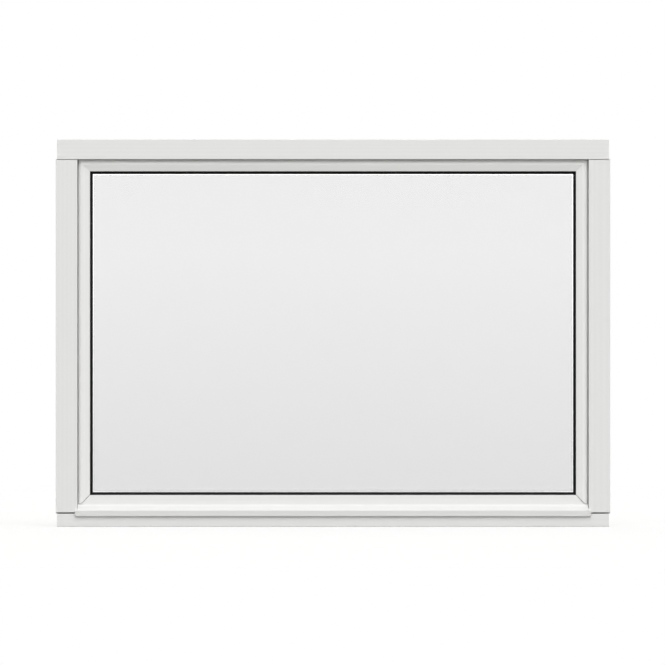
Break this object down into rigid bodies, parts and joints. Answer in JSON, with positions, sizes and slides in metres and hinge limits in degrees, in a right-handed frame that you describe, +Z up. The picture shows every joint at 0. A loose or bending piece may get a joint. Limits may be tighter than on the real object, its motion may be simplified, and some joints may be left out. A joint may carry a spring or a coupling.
{
  "type": "fixed picture window",
  "caption": "White painted timber fixed window with bevelled glazing beads, a coved aluminium drip bead over the sill and a sealed triple-glazed unit.",
  "frame": {"origin": "middle of the sill's underside, at mid width and mid depth of the frame", "axes": "+X to the right seen from the weather side, +Y from the weather side to the room, +Z up"},
  "size_m": [1.188, 0.1218, 0.83],
  "materials": {
    "painted_pine": "white opaque paint on planed pine, satin",
    "coated_aluminium": "white powder coating on extruded aluminium",
    "cap_plastic": "moulded white plastic",
    "epdm_rubber": "black extruded rubber, matt",
    "glazing_tape": "black closed-cell foam tape",
    "clear_glass": "clear float glass",
    "spacer_bar": "bright roll-formed aluminium, with a dark edge seal behind it",
    "block_plastic": "moulded polypropylene"
  },
  "bodies": {
    "root": {"sill": "painted_pine", "left_jamb": "painted_pine", "right_jamb": "painted_pine", "head": "painted_pine", "head_bead": "painted_pine", "left_bead": "painted_pine", "right_bead": "painted_pine", "drip_bead": "coated_aluminium", "left_end_cap": "cap_plastic", "right_end_cap": "cap_plastic", "weather_gasket_top": "epdm_rubber", "weather_gasket_bottom": "epdm_rubber", "weather_gasket_left": "epdm_rubber", "weather_gasket_right": "epdm_rubber", "inner_tape_top": "glazing_tape", "inner_tape_bottom": "glazing_tape", "inner_tape_left": "glazing_tape", "inner_tape_right": "glazing_tape", "outer_pane": "clear_glass", "middle_pane": "clear_glass", "inner_pane": "clear_glass", "outer_spacer_top": "spacer_bar", "outer_spacer_bottom": "spacer_bar", "outer_spacer_left": "spacer_bar", "outer_spacer_right": "spacer_bar", "inner_spacer_top": "spacer_bar", "inner_spacer_bottom": "spacer_bar", "inner_spacer_left": "spacer_bar", "inner_spacer_right": "spacer_bar", "left_setting_block": "block_plastic", "right_setting_block": "block_plastic"}
  },
  "joints": []
}
